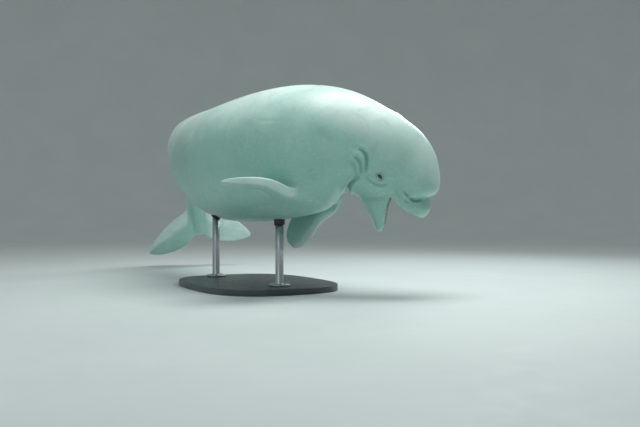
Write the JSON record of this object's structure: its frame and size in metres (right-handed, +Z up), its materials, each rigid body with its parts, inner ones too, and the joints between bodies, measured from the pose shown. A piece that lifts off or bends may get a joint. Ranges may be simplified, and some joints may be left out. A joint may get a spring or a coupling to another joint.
{
  "type": "beluga whale model",
  "caption": "Life-size beluga whale swimming in a bend with its mouth open and neck bent down, held on a flat stand by two short rods.",
  "frame": {"origin": "middle of the underside of the stand's base, on the floor", "axes": "+Z up, the head points to +X and bends down, the right flank faces -Y, and the body curves away to the whale's left, towards -X and +Y"},
  "size_m": [2.3179, 3.2272, 1.2928],
  "materials": {
    "skin": "smooth pale grey-white skin with a soft satin sheen",
    "mouth": "moist pink, satin",
    "eye": "wet dark gloss",
    "stand": "matt charcoal lacquer",
    "rod": "brushed"
  },
  "bodies": {
    "root": {"head": "skin", "lower_jaw": "skin", "tongue": "mouth", "eye_right": "eye", "eye_left": "eye", "neck": "skin", "chest": "skin", "abdomen": "skin", "tail_stock": "skin", "flipper_right": "skin", "flipper_left": "skin", "fluke_right": "skin", "fluke_left": "skin", "stand_base": "stand", "stand_rod_front": "rod", "stand_rod_rear": "rod"}
  },
  "joints": []
}
